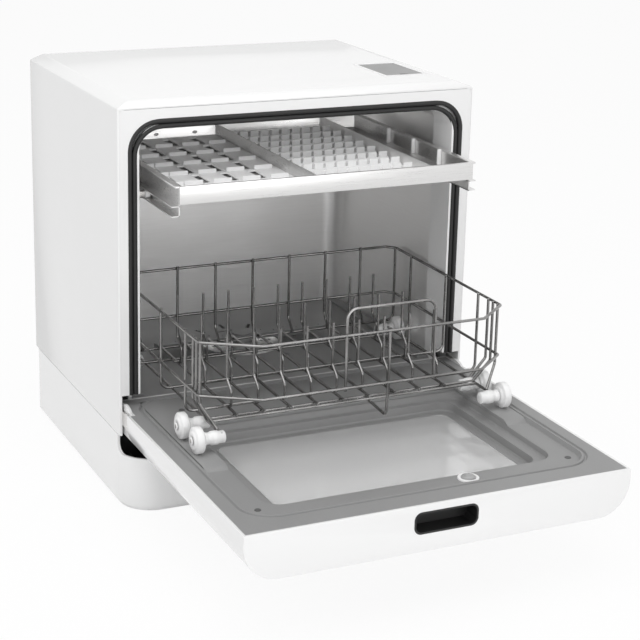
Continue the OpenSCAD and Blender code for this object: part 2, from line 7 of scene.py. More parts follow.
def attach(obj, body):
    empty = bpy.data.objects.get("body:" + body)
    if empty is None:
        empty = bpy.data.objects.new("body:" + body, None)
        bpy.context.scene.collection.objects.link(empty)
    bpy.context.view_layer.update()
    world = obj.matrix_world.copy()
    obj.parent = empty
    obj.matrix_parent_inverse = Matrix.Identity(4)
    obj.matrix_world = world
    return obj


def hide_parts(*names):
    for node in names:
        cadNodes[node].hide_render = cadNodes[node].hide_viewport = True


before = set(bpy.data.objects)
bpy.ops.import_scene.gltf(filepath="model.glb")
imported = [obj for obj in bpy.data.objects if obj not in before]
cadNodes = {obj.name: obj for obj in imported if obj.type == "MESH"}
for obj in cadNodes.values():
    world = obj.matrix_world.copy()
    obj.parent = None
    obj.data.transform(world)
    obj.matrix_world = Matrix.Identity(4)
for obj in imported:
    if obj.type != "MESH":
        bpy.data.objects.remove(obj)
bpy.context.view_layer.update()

scene = bpy.context.scene
print("frame loaded,", len(cadNodes), "nodes")


class Flow:                                    # a node's output that can be added and multiplied
    def __init__(self, finish, socket):
        self.finish, self.socket = finish, socket

    def sum(self, operation, first, second):
        return self.finish.node("ShaderNodeMath", {"operation": operation}, {0: first, 1: second})

    def __add__(self, other): return self.sum("ADD", self, other)
    def __radd__(self, other): return self.sum("ADD", other, self)
    def __mul__(self, other): return self.sum("MULTIPLY", self, other)
    def __rmul__(self, other): return self.sum("MULTIPLY", other, self)


class Finish:                                  # one material and its nodes
    def __init__(self, name):
        self.material = bpy.data.materials.new(name)
        self.material.use_nodes = True
        self.tree = self.material.node_tree
        self.tree.nodes.clear()
        self.end = self.tree.nodes.new("ShaderNodeOutputMaterial")

    def node(self, kind, settings=None, values=None, out=0):
        made = self.tree.nodes.new(kind)
        for key, value in (settings or {}).items():
            setattr(made, key, value)
        for key, value in (values or {}).items():
            if isinstance(value, Flow):
                self.tree.links.new(value.socket, made.inputs[key])
            else:
                made.inputs[key].default_value = value
        return Flow(self, made.outputs[out])

    def noise(self, size, detail=2.0, roughness=0.5, stretch=(1, 1, 1)):
        # size in metres, on Object coordinates
        spot = self.node("ShaderNodeTexCoord", out=3)
        spot = self.node("ShaderNodeMapping", values={"Vector": spot, "Scale": stretch})
        return self.node("ShaderNodeTexNoise", values={
            "Vector": spot, "Scale": 1.0 / size, "Detail": detail, "Roughness": roughness})

    def span(self, flow, low, high, fromLow=0.0, fromHigh=1.0):
        return self.node("ShaderNodeMapRange", {"clamp": True}, {
            0: flow, 1: fromLow, 2: fromHigh, 3: low, 4: high})

    def blend(self, mask, first, second):
        return self.node("ShaderNodeMix", {"data_type": "RGBA"}, {0: mask, 6: first, 7: second}, out=2)

    def bump(self, height, depth, strength):
        return self.node("ShaderNodeBump", values={"Strength": strength, "Distance": depth, "Height": height})

    def surface(self, **values):
        plain = {key.replace("_", " "): value for key, value in values.items()}
        shader = self.node("ShaderNodeBsdfPrincipled", values=plain)
        self.tree.links.new(shader.socket, self.end.inputs["Surface"])
        return self.material


def grey(level, warm=0.0):
    return (level * (1 + warm), level, level * (1 - warm), 1.0)


def sprayed(name, level, roughness, coat):
    # sprayed or moulded shell with a faint orange peel and slight clouding of its gloss
    cloudSize, peelSize, peelDepth = 0.2, 0.003, 0.00005
    coatRoughness, clouding, dulling = 0.12, 0.008, 0.03
    f = Finish(name)
    cloud = f.noise(cloudSize, 2.0)
    peel = f.noise(peelSize, 1.0)
    tone = f.blend(f.span(cloud, 0.0, 1.0, 0.3, 0.7), grey(level * (1 - clouding)), grey(level))
    return f.surface(Base_Color=tone, Roughness=f.span(cloud, roughness, roughness + dulling, 0.3, 0.7),
                     Coat_Weight=coat, Coat_Roughness=coatRoughness, IOR=1.5,
                     Normal=f.bump(peel, peelDepth, 0.1))


def moulded(name, level, roughness, grain=0.0009, depth=0.00008, speckle=0.03, shine=0.5):
    # moulded plastic with the fine spark texture of the tool, a little paler where it is rubbed
    cloudSize, polish, wear = 0.05, 0.05, 0.06
    f = Finish(name)
    fine = f.noise(grain, 2.0, 0.6)
    cloud = f.noise(cloudSize, 3.0)
    shade = f.span(fine, -speckle, speckle, 0.35, 0.65) + f.span(cloud, -speckle, speckle, 0.3, 0.7)
    tone = f.blend(f.span(shade, 0.0, 1.0, -2 * speckle, 2 * speckle),
                   grey(level * (1 - 2 * speckle)), grey(level * (1 + 2 * speckle)))
    return f.surface(Base_Color=tone, Roughness=f.span(cloud, roughness - polish, roughness + wear, 0.3, 0.7),
                     Specular_IOR_Level=shine, Normal=f.bump(fine, depth, 0.5))


def brushed(name, level, roughness, stretch, warm=0.02, depth=0.00004, metallic=1.0):
    # sheet steel with a grain that runs one way
    grainSize, cloudSize, grainContrast = 0.0012, 0.09, 0.04
    f = Finish(name)
    grain = f.noise(grainSize, 3.0, 0.6, stretch)
    cloud = f.noise(cloudSize, 3.0)
    tone = f.blend(f.span(grain, 0.0, 1.0, 0.3, 0.7),
                   grey(level * (1 - grainContrast), warm), grey(level, warm))
    rough = f.span(grain, roughness - 0.06, roughness + 0.08, 0.3, 0.7) + f.span(cloud, -0.03, 0.04)
    return f.surface(Base_Color=tone, Metallic=metallic, Roughness=rough, Normal=f.bump(grain, depth, 0.4))


def wireSteel(name):
    # bright drawn wire, slightly darker and rougher in patches
    cloudSize, fineSize, fineDepth = 0.03, 0.0015, 0.00003
    darkSteel, brightSteel = grey(0.20, 0.015), grey(0.32, 0.012)
    f = Finish(name)
    cloud = f.noise(cloudSize, 3.0)
    fine = f.noise(fineSize, 2.0)
    tone = f.blend(f.span(cloud, 0.0, 1.0, 0.35, 0.65), darkSteel, brightSteel)
    return f.surface(Base_Color=tone, Metallic=1.0, Roughness=f.span(fine, 0.16, 0.28, 0.3, 0.7),
                     Normal=f.bump(fine, fineDepth, 0.3))


def glass(name, level, roughness, clear):
    # pane with a faint haze; clear is the share of light that passes straight through
    hazeSize, glassIndex = 0.06, 1.45
    f = Finish(name)
    haze = f.noise(hazeSize, 2.0)
    return f.surface(Base_Color=f.blend(haze, grey(level * 0.97), grey(level)),
                     Roughness=f.span(haze, roughness, roughness + 0.03),
                     Transmission_Weight=clear, IOR=glassIndex)


finishes = {
    # after the name: tone and roughness, then coat, or grain size and depth, or grain direction and warmth
    "enamel": sprayed("white_enamel_coat", 0.86, 0.24, 0.25),
    "shell": sprayed("white_gloss_moulding", 0.88, 0.18, 0.4),
    "whitePlastic": moulded("white_satin_moulding", 0.93, 0.34, speckle=0.008),
    "blackPlastic": moulded("black_satin_moulding", 0.014, 0.36, speckle=0.06),
    "rubber": moulded("black_rubber", 0.012, 0.55, 0.0006, 0.0001, speckle=0.06),
    "palePlastic": moulded("pale_moulding", 0.92, 0.34, speckle=0.008),
    "steel": brushed("tub_steel", 0.96, 0.36, (0.03, 0.03, 1.0), 0.006, 0.00001, 0.7),
    "trayMetal": brushed("tray_sheet", 0.74, 0.30, (0.03, 1.0, 1.0), 0.006, 0.00002),
    "greyPlastic": moulded("grey_satin_moulding", 0.26, 0.42),
    "linerPlastic": moulded("liner_satin_moulding", 0.29, 0.46, 0.0007, 0.00005, 0.02, shine=0.35),
    "fittings": brushed("plated_fittings", 0.66, 0.30, (1, 1, 1)),
    "darkPlastic": moulded("dark_pump_moulding", 0.10, 0.5),
    "window": glass("window_glass", 0.99, 0.05, 0.62),
    "clearCap": glass("clear_cap", 0.95, 0.05, 0.6),
    "tube": moulded("dark_tube", 0.06, 0.35, speckle=0.05),
    "wire": wireSteel("basket_wire"),
}
print("finishes made")

nodeFinish = {
    "enamel": ["outer_casing", "back_panel"],
    "shell": ["base_tray", "front_bezel", "door_outer_shell"],
    "whitePlastic": ["roller_left_front", "roller_left_rear", "roller_right_front", "roller_right_rear",
                     "hinge_arms", "vent_cap", "front_wheels", "wheel_mounts", "second_wheel_left",
                     "second_wheel_right", "rear_wheel_left", "rear_wheel_right", "tray_rib_insert",
                     "tray_comb_insert", "tray_partitions"],
    "blackPlastic": ["hinge_bay_liner", "handle_insert", "control_panel"],
    "rubber": ["door_gasket", "feet"],
    "palePlastic": ["tub_front_frame", "fill_port_frame", "water_tank"],
    "steel": ["tub_shell", "sump_filter"],
    "greyPlastic": ["tub_floor", "sump", "spray_hub", "spray_arm", "fill_flap", "tray_frame"],
    "linerPlastic": ["door_liner"],
    "fittings": ["tray_roller_brackets", "hinge_pins", "casing_screws", "tray_runners", "water_heater"],
    "darkPlastic": ["wash_pump", "drain_pump", "rear_connectors", "liner_screws"],
    "window": ["window_inner_pane", "window_outer_pane"],
    "wire": ["basket_floor", "basket_left_side", "basket_right_side", "basket_front", "basket_back",
             "tines_front", "tines_middle", "tines_back", "basket_handle"],
}
for name, members in nodeFinish.items():
    for member in members:
        if member in cadNodes:
            cadNodes[member].data.materials.clear()
            cadNodes[member].data.materials.append(finishes[name])
bare = [n for n in cadNodes if not cadNodes[n].data.materials]
print("nodes dressed; without a finish:", bare)


def finishPiece(name, data, finish, body, replaced=()):
    # an object of the mesh or curve, with its finish, on its body and in place of the CAD nodes named
    made = bpy.data.objects.new(name, data)
    scene.collection.objects.link(made)
    data.materials.clear()
    data.materials.append(finishes[finish])
    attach(made, body)
    if replaced:
        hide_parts(*replaced)
    return made


def piece(name, bm, finish, body, replaced=(), smooth=True):
    mesh = bpy.data.meshes.new(name)
    bm.to_mesh(mesh)
    bm.free()
    if smooth:
        mesh.shade_smooth()
    return finishPiece(name, mesh, finish, body, replaced)


def softened(path, radius, steps=4):
    # the path, given in millimetres, with its corners turned into arcs
    straight = 1.56                            # half angle from which a corner counts as straight
    points = [Vector(p) / 1000 for p in path]
    closed = (points[0] - points[-1]).length < 1e-6
    if closed:
        points = [points[-2]] + points[:-1] + [points[0]]
    made = [] if closed else [points[0]]
    for before, here, after in zip(points, points[1:], points[2:]):
        a, b = (before - here), (after - here)
        half = a.angle(b) / 2
        if half > straight:
            made.append(here)
            continue
        reach = min(radius / 1000 / math.tan(half), a.length * 0.48, b.length * 0.48)
        arc = reach * math.tan(half)
        a.normalize()
        b.normalize()
        middle = here + (a + b).normalized() * (arc / math.sin(half))
        first, last = here + a * reach - middle, here + b * reach - middle
        for i in range(steps + 1):
            made.append(middle + first.normalized().slerp(last.normalized(), i / steps) * arc)
    if not closed:
        made.append(points[-1])
    return made


def wires(name, runs, body, finish, replaced=(), bend=6, steps=4):
    # round wires, each run given as (path in millimetres, diameter in millimetres)
    thickest = max(run[1] for run in runs)
    curve = bpy.data.curves.new(name, "CURVE")
    curve.dimensions = "3D"
    curve.bevel_depth, curve.bevel_resolution, curve.use_fill_caps = thickest / 2000, 2, True
    for path, diameter in runs:
        closed = tuple(path[0]) == tuple(path[-1])
        points = softened(path, bend, steps)
        spline = curve.splines.new("POLY")
        spline.points.add(len(points) - 1)
        spline.use_cyclic_u = closed
        for spot, p in zip(spline.points, points):
            spot.co, spot.radius = (*p, 1), diameter / thickest
    return finishPiece(name, curve, finish, body, replaced)


easing = {
    "mergeDistance": 0.00002, "flatAngle": 1.0, "edgeAngle": 20, "sharpAngle": 35, "segments": 3,
    "bezelDepth": 0.001, "bezelHalf": 0.2072, "bezelTop": 0.4452,  # the opening that the bezel fills, metres
}


def meetsBezel(edge):
    # the inner edge of the casing's front, against which the bezel lies
    middle = (edge.verts[0].co + edge.verts[1].co) / 2
    return (middle.y < easing["bezelDepth"] and abs(middle.x) < easing["bezelHalf"]
            and middle.z < easing["bezelTop"])


def easedCopy(node, finish, body, width):
    # the CAD part once more, with the small roundings of a moulding on its edges
    bm = bmesh.new()
    bm.from_mesh(cadNodes[node].data)
    bm.transform(cadNodes[node].matrix_world)
    bmesh.ops.remove_doubles(bm, verts=bm.verts, dist=easing["mergeDistance"])
    bmesh.ops.dissolve_limit(bm, angle_limit=math.radians(easing["flatAngle"]), verts=bm.verts, edges=bm.edges)
    edges = [e for e in bm.edges
             if len(e.link_faces) == 2 and e.calc_face_angle(0) > math.radians(easing["edgeAngle"])
             and e.calc_length() > width / 1000 and not (node == "outer_casing" and meetsBezel(e))]
    bmesh.ops.bevel(bm, geom=edges, affect="EDGES", offset_type="OFFSET", offset=width / 1000,
                    segments=easing["segments"], profile=0.5, material=-1, clamp_overlap=True)
    mesh = bpy.data.meshes.new(node + "_eased")
    bm.to_mesh(mesh)
    bm.free()
    mesh.shade_smooth()
    mesh.set_sharp_from_angle(angle=math.radians(easing["sharpAngle"]))
    return finishPiece(node + "_eased", mesh, finish, body, (node,))


def turned(bm, profile, centre, axis="X", side=1, segments=32):
    # a profile of (distance along the axis, radius) in millimetres, spun about that axis
    along = Vector((1, 0, 0)) * side if axis == "X" else Vector((0, 0, 1))
    out = Vector((0, 0, 1)) if axis == "X" else Vector((1, 0, 0))
    middle = Vector(centre) / 1000
    verts = [bm.verts.new(middle + along * (a / 1000) + out * (r / 1000)) for a, r in profile]
    edges = [bm.edges.new(pair) for pair in zip(verts, verts[1:])]
    bmesh.ops.spin(bm, geom=verts + edges, cent=middle, axis=along, dvec=(0, 0, 0), angle=2 * math.pi,
                   steps=segments, use_merge=True, use_duplicate=False)
    bmesh.ops.remove_doubles(bm, verts=bm.verts, dist=easing["mergeDistance"])
    bmesh.ops.recalc_face_normals(bm, faces=bm.faces)


# casing, base and door with the small roundings of pressed and moulded edges
easedSettings = {  # node: (finish, body, rounding in mm, slot)
    "outer_casing": ("enamel", "cabinet", 1.6, "white_enamel"),
    "base_tray": ("shell", "cabinet", 0.9, "white_shell"),
    "door_outer_shell": ("shell", "door", 0.9, "white_shell"),
    "handle_insert": ("blackPlastic", "door", 0.7, "black_plastic"),
    "tray_frame": ("trayMetal", "tray", 0.3, "grey_plastic"),
    "hinge_arms": ("whitePlastic", "door", 0.4, "white_plastic"),
}
for node, (finish, body, width, slot) in easedSettings.items():
    easedCopy(node, finish, body, width)
print("housing, door and tray pieces made")

basketSettings = {
    # millimetres; left and right are the rim's half widths, which differ
    "wire": 3.2, "rim": 225, "rail": 168, "floor": 135, "left": 169, "right": 183, "front": -163, "back": 128,
    "cornerLeft": -114, "cornerRight": 142, "cornerY": -128, "rearCut": 10, "rimBend": 5,
    "inside": 2.6,                             # uprights stand this far inside the rim
    "hookWire": 5, "hook": [(0, 2), (3.5, -6)], "hookFoot": (-112, -3),
    "posts": [-106, -116, -126], "postFeet": [-102, -110, -140], "postKink": 158,
    "lowLeft": 153, "lowRight": 163, "lowFront": -153, "footInset": 8,
    "frames": [-84, -10, 75, 116], "frameBend": 9, "shortFrames": [-110, -118], "shortFrameX": (-154, 162),
    "long": [-122 + 30.6 * i for i in range(9)], "longFront": -119,
    "backUprights": [-144, -97, -50, -3, 44, 91, 138], "backKink": 150, "backFoot": 112, "backBend": 8,
    "tineRows": {"tines_front": -84, "tines_middle": -10, "tines_back": 64}, "tine": 2.8, "tineShift": 2.2,
    "tinePath": [(-12, 3), (-12, 20), (0, 30), (0, 78)], "tineBend": 4,
    "tineFoot": (-9.8, 5), "tineFootEnds": (-6, 10),
    "grip": (-19, 84), "gripTop": 252.5, "gripBend": 12, "gripInside": 2.4,
}


def makeBasket():
    s = basketSettings
    d, floor = s["wire"], s["floor"]
    left, right, front, back, cut = s["left"], s["right"], s["front"], s["back"], s["rearCut"]
    rims = []
    for z in (s["rim"], s["rail"]):
        rims.append(([(s["cornerLeft"], front, z), (s["cornerRight"], front, z), (right, s["cornerY"], z),
                      (right, back - cut, z), (right - cut, back, z), (cut - left, back, z),
                      (-left, back - cut, z), (-left, s["cornerY"], z), (s["cornerLeft"], front, z)], d))
    # the long hook of the front wire that hangs below the floor
    inner, x = front + 2.5, s["long"][s["hookWire"]]
    (nearShift, nearRise), (farShift, farDrop) = s["hook"]
    footY, footDrop = s["hookFoot"]
    rims.append(([(x, inner + nearShift, s["rim"] + nearRise), (x, inner, s["rail"] - 2),
                  (x, inner + farShift, floor + farDrop), (x, footY, floor + footDrop)], d))
    # posts at the front corners, and the low wire that they end on
    for side, edge, low in ((-1, left, -s["lowLeft"]), (1, right, s["lowRight"])):
        x = side * (edge - s["inside"])
        for y, foot in zip(s["posts"], s["postFeet"]):
            rims.append(([(x, y, s["rim"] + 1), (x, y, s["postKink"]), (low, foot, floor - 1)], d))
        rims.append(([(low, back - s["footInset"], floor - 1.6), (low, s["lowFront"], floor - 1.6)], d))
    wires("basket_rims", rims, "basket", "wire",
          ("basket_left_side", "basket_right_side", "basket_front"), bend=s["rimBend"])

    frames = []
    leftWall, rightWall = s["inside"] - left, right - s["inside"]
    for y in s["frames"]:
        frames.append(([(leftWall, y, s["rim"] + 1), (leftWall, y, floor),
                        (rightWall, y, floor), (rightWall, y, s["rim"] + 1)], d))
    for y in s["shortFrames"]:
        frames.append(([(x, y, floor - 1) for x in s["shortFrameX"]], d))
    for x in s["long"]:
        frames.append(([(x, s["longFront"], floor + 1.8), (x, back - s["footInset"], floor + 2.6)], d))
    wires("basket_frames", frames, "basket", "wire", ("basket_floor",), bend=s["frameBend"], steps=5)

    uprights = []
    wall = back - s["inside"]
    for x in s["backUprights"]:
        uprights.append(([(x, wall, s["rim"] + 3), (x, wall, s["backKink"]), (x, s["backFoot"], floor + 1)], d))
    wires("basket_back_uprights", uprights, "basket", "wire", ("basket_back",), bend=s["backBend"])

    # kinked tines on a foot wire
    footY, footZ = s["tineFoot"]
    for name, y in s["tineRows"].items():
        row = []
        for x in s["long"]:
            row.append(([(x + s["tineShift"], y + shift, floor + rise) for shift, rise in s["tinePath"]],
                        s["tine"]))
        ends = [s["long"][i] + more for i, more in zip((0, -1), s["tineFootEnds"])]
        row.append(([(x, y + footY, floor + footZ) for x in ends], s["tine"]))
        wires(name + "_round", row, "basket", "wire", (name,), bend=s["tineBend"])

    near, far = s["grip"]
    y, low = front + s["gripInside"], s["rail"] - 4
    loop = [(near, y, low), (near, y, s["gripTop"]), (far, y, s["gripTop"]), (far, y, low)]
    wires("basket_grip", [(loop, d)], "basket", "wire", ("basket_handle",), bend=s["gripBend"], steps=8)


makeBasket()
print("basket wires made")

wheelSettings = {
    "x": 178, "z": 129.3, "front": -149.3, "second": -106, "rear": 100, "inner": 149,
    # profiles: distance along the axle, radius
    "tyre": [(-6, 3.3), (-6, 8.8), (-5.2, 9.8), (-4, 10.5), (-4, 13.2), (-3.2, 14), (3.2, 14), (4, 13.2),
             (4, 10.5), (5.2, 9.8), (6, 8.8), (6, 4.9), (5.4, 4.6), (5.4, 3.3), (-6, 3.3)],
    "boss": [(0, 0), (0, 5.6), (0.8, 6.4), (7, 6.4), (7.8, 7.2), (15, 7.2), (15.8, 6.2), (19.8, 6.2),
             (20.2, 6.8), (21.8, 6.8), (22.4, 6.2), (22.4, 3), (35.4, 3), (35.4, 4.1), (35.8, 4.4),
             (36.3, 3.6), (36.3, 0)],
    "axleEnd": [(36.2, 0), (36.2, 2.4), (36.35, 2.2), (36.35, 0)], "axleSegments": 16,
}


def makeWheels():
    s = wheelSettings
    groups = {"front_wheels": ("front_wheel_pair", [(-1, "front"), (1, "front")])}
    for row in ("second", "rear"):
        for side, word in ((-1, "left"), (1, "right")):
            groups[f"{row}_wheel_{word}"] = (f"{row}_wheel_{word}", [(side, row)])
    for name, (body, members) in groups.items():
        bm = bmesh.new()
        for side, row in members:
            turned(bm, s["tyre"], (side * s["x"], s[row], s["z"]), side=side)
        piece(name + "_turned", bm, "whitePlastic", body, (name,))
    bosses, ends = bmesh.new(), bmesh.new()
    for side in (-1, 1):
        for row in ("front", "second", "rear"):
            turned(bosses, s["boss"], (side * s["inner"], s[row], s["z"]), side=side)
            turned(ends, s["axleEnd"], (side * s["inner"], s[row], s["z"]), side=side,
                   segments=s["axleSegments"])
    piece("wheel_bosses", bosses, "whitePlastic", "basket", ("wheel_mounts",))
    piece("wheel_axle_ends", ends, "fittings", "basket")


makeWheels()

sealSettings = {
    "foot": 128, "thick": 6.0, "corner": 31.5, "cornerSteps": 14,
    "beads": [(196.4, 426.4, 1.7), (190.8, 420.8, 2.4)],  # half width, top, place in depth
}


def makeSeal():
    s = sealSettings
    runs = []
    for half, top, depth in s["beads"]:
        runs.append(([(-half, depth, s["foot"]), (-half, depth, top), (half, depth, top),
                      (half, depth, s["foot"])], s["thick"]))
    wires("gasket_beads", runs, "cabinet", "rubber", ("door_gasket",), s["corner"], s["cornerSteps"])


makeSeal()

capSettings = {
    "place": (50, -300, 110), "segments": 40,
    "ring": [(0, 0), (0, 11), (2.4, 11), (3, 10.4), (3, 8.4), (2.2, 8), (2.2, 0)],  # height, radius
    "dome": [(2.2, 0), (2.2, 7.6), (3.4, 7.4), (4.4, 6.2), (4.9, 4), (5, 0)],
}


def makeVentCap():
    s = capSettings
    ring, dome = bmesh.new(), bmesh.new()
    turned(ring, s["ring"], s["place"], "Z", 1, s["segments"])
    turned(dome, s["dome"], s["place"], "Z", 1, s["segments"])
    piece("vent_ring", ring, "whitePlastic", "door", ("vent_cap",))
    piece("vent_dome", dome, "clearCap", "door")


makeVentCap()


def block(bm, low, high):
    # a straight-sided lump between two corners in millimetres
    made = bmesh.ops.create_cube(bm, size=1.0)
    size = [(b - a) / 1000 for a, b in zip(low, high)]
    bmesh.ops.scale(bm, verts=made["verts"], vec=size)
    bmesh.ops.translate(bm, verts=made["verts"], vec=[(a + b) / 2000 for a, b in zip(low, high)])


def spreadGrid(bm, across, along, height):
    # a flat grid whose lines lie at the given places, all in millimetres
    bmesh.ops.create_grid(bm, x_segments=len(across) - 1, y_segments=len(along) - 1, size=0.5)
    for lines, axis in ((across, 0), (along, 1)):
        for v in bm.verts:
            v.co[axis] = lines[round((v.co[axis] + 0.5) * (len(lines) - 1))] / 1000
    for v in bm.verts:
        v.co.z = height / 1000


def fieldOf(face, lines, axis):
    spot = face.calc_center_median()[axis] * 1000
    return sum(1 for line in lines[1:-1] if spot > line)


def slottedShelf(bm, across, along, top, thick):
    # a sheet between the first and last of the given lines, open in every second field both ways
    spreadGrid(bm, across, along, top)
    slots = [f for f in bm.faces if fieldOf(f, across, 0) % 2 and fieldOf(f, along, 1) % 2]
    bmesh.ops.delete(bm, geom=slots, context="FACES")
    grown = bmesh.ops.extrude_face_region(bm, geom=bm.faces[:])
    low = [v for v in grown["geom"] if isinstance(v, bmesh.types.BMVert)]
    bmesh.ops.translate(bm, verts=low, vec=(0, 0, -thick / 1000))
    bmesh.ops.recalc_face_normals(bm, faces=bm.faces)


def softenAll(bm, width):
    creased = 0.6                              # radians
    edges = [e for e in bm.edges if len(e.link_faces) == 2 and e.calc_face_angle(0) > creased]
    bmesh.ops.bevel(bm, geom=edges, affect="EDGES", offset=width / 1000, segments=2, profile=0.5, material=-1)


linerSettings = {
    # half width, front, rear, corner radius, height: from the rim inwards over the recess, then back below
    "rows": [
        (201.5, -345, 19.5, 1, 112), (201.5, -345, 19.5, 1, 115), (193.5, -321, 16, 37, 115),
        (192.3, -319.8, 15, 36, 113.2), (190.4, -318, 13.5, 34, 113.2), (189.4, -317, 12.5, 33, 115),
        (187.4, -315, 10.5, 31, 115.2), (184.6, -312, 9, 28, 111), (162.5, -288.5, -73.5, 22, 111),
        (160.6, -286.6, -75.4, 20.5, 110.4), (160, -286, -76, 20, 108.8), (159.4, -285.4, -76.8, 19.5, 105.2),
        (158, -284, -78, 18.5, 104), (150, -276, -83, 17, 104), (148.4, -274.4, -84.6, 16.2, 103.4),
        (148, -274, -85, 16, 101.5), (147.6, -273.6, -85.4, 15.8, 95.6), (146, -272, -87, 15, 94),
        (139, -261, -93, 13, 94), (137.3, -259.3, -94.7, 11.3, 93.6), (137.05, -259, -95, 11, 92.8),
        (137.05, -259, -95, 11, 70.4), (139.6, -261.6, -92.4, 13, 70.4), (139.6, -261.6, -92.4, 13, 91),
        (149, -275, -84, 16, 91), (150.5, -276.5, -82.5, 17, 101), (162.5, -288.5, -73.5, 21, 101),
        (162.5, -288.5, -73.5, 21, 108), (187, -313, 11, 29, 108), (192, -319, 15, 34, 112)],
    "cornerSegments": 8, "sharpAngle": 38,
    "tracks": {"across": (-185.4, -160.5, 160.5, 185.4), "along": (-192, -75.5, 9), "low": 110.4, "top": 115,
               "slope": 9, "edge": 0.7},
    "sides": {"inner": 201.5, "outer": 207, "front": -345, "rear": -27.5, "low": 112, "top": 115},
    "screws": [(172, -291, 111), (150, -30, 115)], "screwSegments": 24,
    "screwHead": [(-1.5, 0), (-1.5, 3.4), (0, 3.4), (0.6, 3.1), (0.8, 2.4), (0.3, 1.4), (0.3, 0)],
}


def roundedRing(bm, half, front, rear, corner, height):
    # the points of a rounded rectangle, in order around its middle
    flat = bmesh.new()
    corners = [(-half, front), (half, front), (half, rear), (-half, rear)]
    flat.faces.new([flat.verts.new((x / 1000, y / 1000, height / 1000)) for x, y in corners])
    bmesh.ops.bevel(flat, geom=flat.verts[:], affect="VERTICES", offset=corner / 1000,
                    segments=linerSettings["cornerSegments"], profile=0.5, material=-1)
    middle = (front + rear) / 2000
    around = sorted(flat.verts, key=lambda v: math.atan2(v.co.y - middle, v.co.x))
    ring = [bm.verts.new(v.co) for v in around]
    flat.free()
    return ring


def makeTracks():
    # raised tracks for the wheels, which end in a slope, and the strips at the liner's sides
    t, sides = linerSettings["tracks"], linerSettings["sides"]
    raised = bmesh.new()
    spreadGrid(raised, t["across"], t["along"], t["low"])
    overRecess = [f for f in raised.faces
                  if fieldOf(f, t["across"], 0) == 1 and fieldOf(f, t["along"], 1) == 0]
    bmesh.ops.delete(raised, geom=overRecess, context="FACES")
    grown = bmesh.ops.extrude_face_region(raised, geom=raised.faces[:])
    for v in grown["geom"]:
        if isinstance(v, bmesh.types.BMVert):
            v.co.z = t["top"] / 1000
            v.co.y += t["slope"] / 1000 if v.co.y * 1000 < t["along"][0] + 1 else 0
    bmesh.ops.recalc_face_normals(raised, faces=raised.faces)
    softenAll(raised, t["edge"])
    for side in (-1, 1):
        near, far = sorted((side * sides["inner"], side * sides["outer"]))
        block(raised, (near, sides["front"], sides["low"]), (far, sides["rear"], sides["top"]))
    return raised


def makeLiner():
    s = linerSettings
    bm = bmesh.new()
    rings = [roundedRing(bm, *row) for row in s["rows"]]
    for here, there in zip(rings, rings[1:] + rings[:1]):
        for i in range(len(here)):
            bm.faces.new((here[i - 1], here[i], there[i], there[i - 1]))
    bmesh.ops.recalc_face_normals(bm, faces=bm.faces)
    raised = makeTracks()
    joined = bpy.data.meshes.new("liner_tracks")
    raised.to_mesh(joined)
    raised.free()
    bm.from_mesh(joined)
    bpy.data.meshes.remove(joined)
    made = piece("liner_moulding", bm, "linerPlastic", "door", ("door_liner",))
    made.data.set_sharp_from_angle(angle=math.radians(s["sharpAngle"]))
    heads = bmesh.new()
    for side in (-1, 1):
        for x, y, z in s["screws"]:
            turned(heads, s["screwHead"], (side * x, y, z), "Z", 1, s["screwSegments"])
    piece("liner_screw_heads", heads, "darkPlastic", "door", ("liner_screws",))


makeLiner()

traySettings = {
    "front": -72, "back": 209, "left": -166, "dividers": (-17, 120), "right": 166, "shelf": 361, "thick": 1.6,
    "margin": 10, "ribPlate": 1.8, "plateEdge": 0.3,
    "rib": {"rows": 6, "start": 12, "slotWidth": 8, "slotLength": 36, "height": 4.2, "wallGap": 0.5,
            "pitches": 4.5, "ribStart": 22, "gap": 12},
    "comb": {"rows": 9, "teeth": 10, "slotEvery": 3, "slotWidth": 6, "slotLength": 20, "strip": 2.4,
             "tooth": (2.2, 8.5), "toothSides": (0.12, 0.88)},
    "dividerGap": 1.5,
    "post": {"count": 3, "first": 60, "pitch": 62, "thick": 3, "reach": 4, "low": 358, "top": 375.5,
             "edge": 0.5},
    "strip": {"from": 10, "to": 28, "front": (2, 3.6), "low": 358, "top": 372},
    "channel": {"wall": (168, 169.4), "out": 177, "low": 341.2, "high": 352.9, "top": 372, "rear": 202,
                "sheet": 1.4, "edge": 0.25},
    "roller": {"x": 173.6, "z": 347, "front": 12, "rear": 34,
               "profile": [(-2.8, 2.8), (-2.8, 3.6), (-2.2, 4.2), (2.2, 4.2), (2.8, 3.6), (2.8, 2.8),
                           (-2.8, 2.8)]},
}


def makeTrayRibs():
    # left part: ribs across a shelf with a slot behind each rib
    s, rib = traySettings, traySettings["rib"]
    front, back, shelf = s["front"], s["back"], s["shelf"]
    x0, x1 = s["left"] + rib["wallGap"], s["dividers"][0] - s["dividerGap"]
    pitch = (x1 - x0) / rib["pitches"]
    across = [x0]
    for c in range(4):
        slot = x0 + rib["start"] + c * pitch
        across += [slot, slot + rib["slotWidth"]]
    step = (back - front - s["margin"]) / rib["rows"]
    along = [front]
    for r in range(rib["rows"]):
        slot = front + s["margin"] + r * step
        along += [slot, slot + rib["slotLength"]]
    bm = bmesh.new()
    slottedShelf(bm, across + [x1], along + [back], shelf, s["thick"])
    for r in range(rib["rows"]):
        y = front + 6 + r * step
        for c in range(-1, 4):
            start = max(x0, x0 + rib["ribStart"] + c * pitch)
            end = min(start + pitch - rib["gap"], x1)
            block(bm, (start, y, shelf - 0.2), (end, y + s["ribPlate"], shelf + rib["height"]))
    softenAll(bm, s["plateEdge"])
    piece("tray_ribs", bm, "whitePlastic", "tray", ("tray_rib_insert",), smooth=False)


